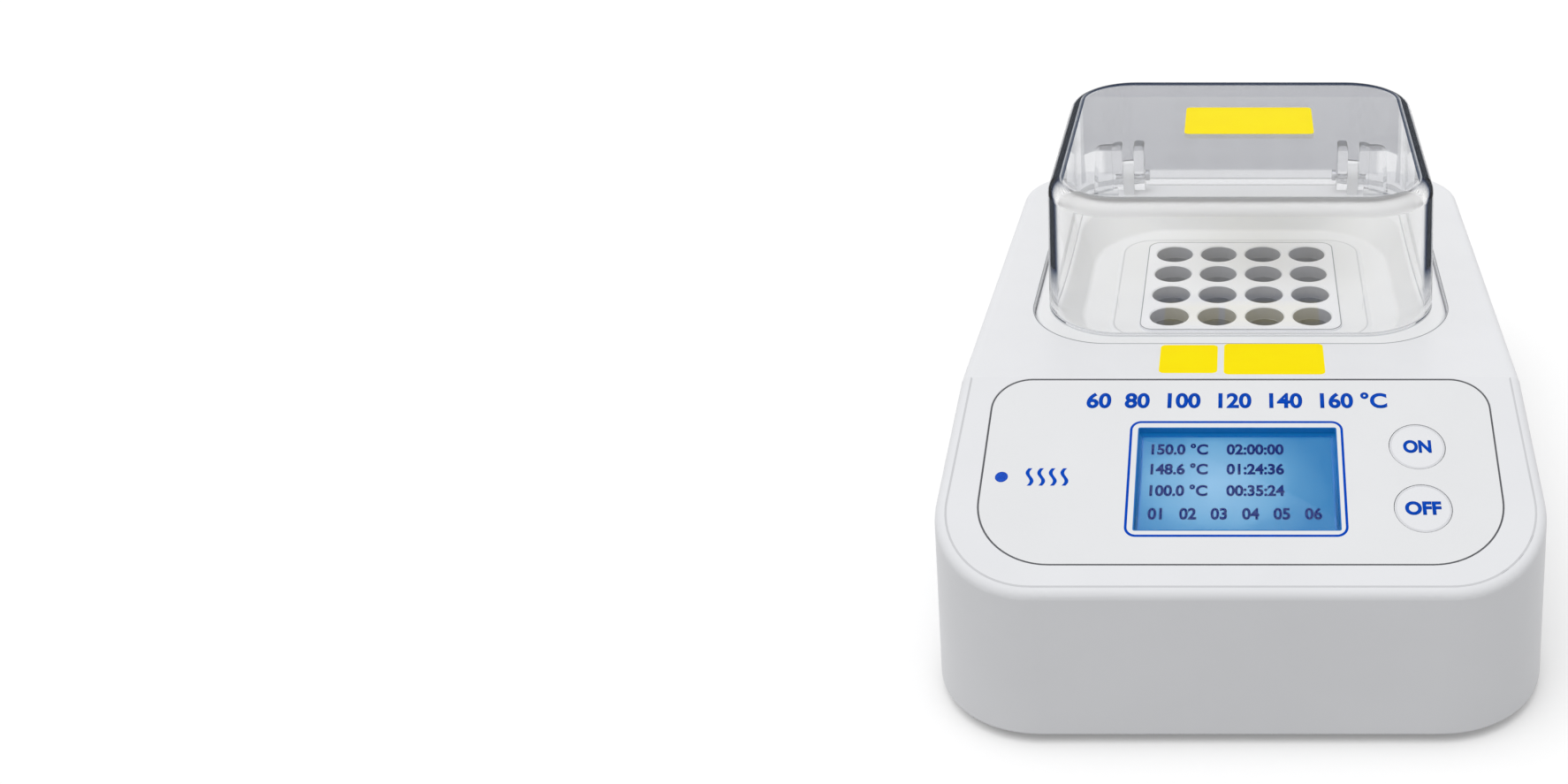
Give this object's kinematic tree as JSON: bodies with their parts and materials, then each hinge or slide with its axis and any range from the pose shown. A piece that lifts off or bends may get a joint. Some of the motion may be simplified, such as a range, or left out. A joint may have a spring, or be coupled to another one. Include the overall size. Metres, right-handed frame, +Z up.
{
  "type": "chemical oxygen demand reactor",
  "caption": "White bench dry-block heater with a clear hinged lid over a grid of vial wells, and a sloped front console with a display, push buttons and a lamp.",
  "frame": {"origin": "on the bench under the middle of the housing, the centre of the bounding box's base", "axes": "+X to the right seen from the front, +Y to the back, +Z up"},
  "size_m": [0.2286, 0.2999, 0.1528],
  "materials": {
    "white_housing": "smooth moulded",
    "white_console": "smooth satin, printed",
    "white_tray": "smooth moulded",
    "white_plate": "smooth powder coat",
    "block_metal": "machined",
    "clear_lid": "clear, polished",
    "pin_steel": "ground",
    "screw_steel": "zinc plated",
    "plate_steel": "rolled sheet",
    "heater_silicone": "fibre-backed silicone",
    "ceramic": "unglazed ceramic",
    "fibre_insulation": "pressed ceramic fibre",
    "cutout_can": "drawn can",
    "base_grey": "powder coat",
    "foot_rubber": "matt",
    "window_clear": "clear",
    "display_blue": "lit display in a dark rim",
    "board_green": "solder mask",
    "button_white": "smooth, printed",
    "switch_black": "moulded",
    "lamp_blue": "tinted lens",
    "led_body": "cast resin",
    "pillar_brass": "turned",
    "core_iron": "varnished laminations",
    "coil_tape": "taped winding",
    "sink_black": "black anodised",
    "relay_blue": "moulded",
    "capacitor_sleeve": "shrink sleeve",
    "cell_steel": "plated",
    "terminal_green": "moulded",
    "ribbon_grey": "ribbed insulation",
    "inlet_black": "moulded",
    "blade_brass": "plated",
    "fuse_glass": "clear tube",
    "cap_metal": "plated",
    "rocker_black": "moulded, marked"
  },
  "bodies": {
    "base": {"housing": "white_housing", "well_tray": "white_tray", "well_plate": "white_plate", "heating_block": "block_metal", "heater_mat": "heater_silicone", "clamp_plate": "plate_steel", "block_spacers": "ceramic", "block_screws": "screw_steel", "block_jacket": "fibre_insulation", "base_insulation": "fibre_insulation", "temperature_probe": "pin_steel", "thermal_cutout": "cutout_can", "bottom_cover": "base_grey", "bottom_screws": "screw_steel", "rubber_feet": "foot_rubber", "hinge_pins": "pin_steel", "control_panel": "white_console", "display_window": "window_clear", "lcd_module": "display_blue", "display_board": "board_green", "button_switches": "switch_black", "heating_lamp": "lamp_blue", "lamp_led": "led_body", "panel_screws": "screw_steel", "control_board": "board_green", "board_pillars": "pillar_brass", "board_screws": "screw_steel", "transformer_core": "core_iron", "transformer_coil": "coil_tape", "heat_sink": "sink_black", "power_triac": "switch_black", "relay": "relay_blue", "capacitors": "capacitor_sleeve", "buzzer": "switch_black", "clock_cell": "cell_steel", "cell_holder": "switch_black", "terminal_block": "terminal_green", "ribbon_cable": "ribbon_grey", "ribbon_connectors": "switch_black", "power_inlet": "inlet_black", "inlet_pins": "blade_brass", "inlet_screws": "screw_steel", "power_switch": "inlet_black", "switch_tabs": "blade_brass"},
    "lid": {"lid": "clear_lid"},
    "on_button": {"on_button": "button_white"},
    "off_button": {"off_button": "button_white"},
    "rocker": {"switch_rocker": "rocker_black"},
    "drawer": {"fuse_drawer": "inlet_black", "fuse": "fuse_glass", "fuse_caps": "cap_metal"}
  },
  "joints": [
    {"name": "lid_hinge", "type": "hinge", "parent": "base", "child": "lid", "pos_m": [0, 0.1255, 0.1035], "axis": [-1, 0, 0], "range_deg": [0, 93]},
    {"name": "on_press", "type": "slide", "parent": "base", "child": "on_button", "axis": [0, 0.3256, -0.9455], "range_m": [0, 0.0006], "stiffness_N_per_m": 2500},
    {"name": "off_press", "type": "slide", "parent": "base", "child": "off_button", "axis": [0, 0.3256, -0.9455], "range_m": [0, 0.0006], "stiffness_N_per_m": 2500},
    {"name": "rocker_tilt", "type": "hinge", "parent": "base", "child": "rocker", "pos_m": [0.002, 0.144, 0.038], "axis": [-1, 0, 0], "range_deg": [0, 18]},
    {"name": "drawer_slide", "type": "slide", "parent": "base", "child": "drawer", "axis": [0, 1, 0], "range_m": [0, 0.02]}
  ]
}
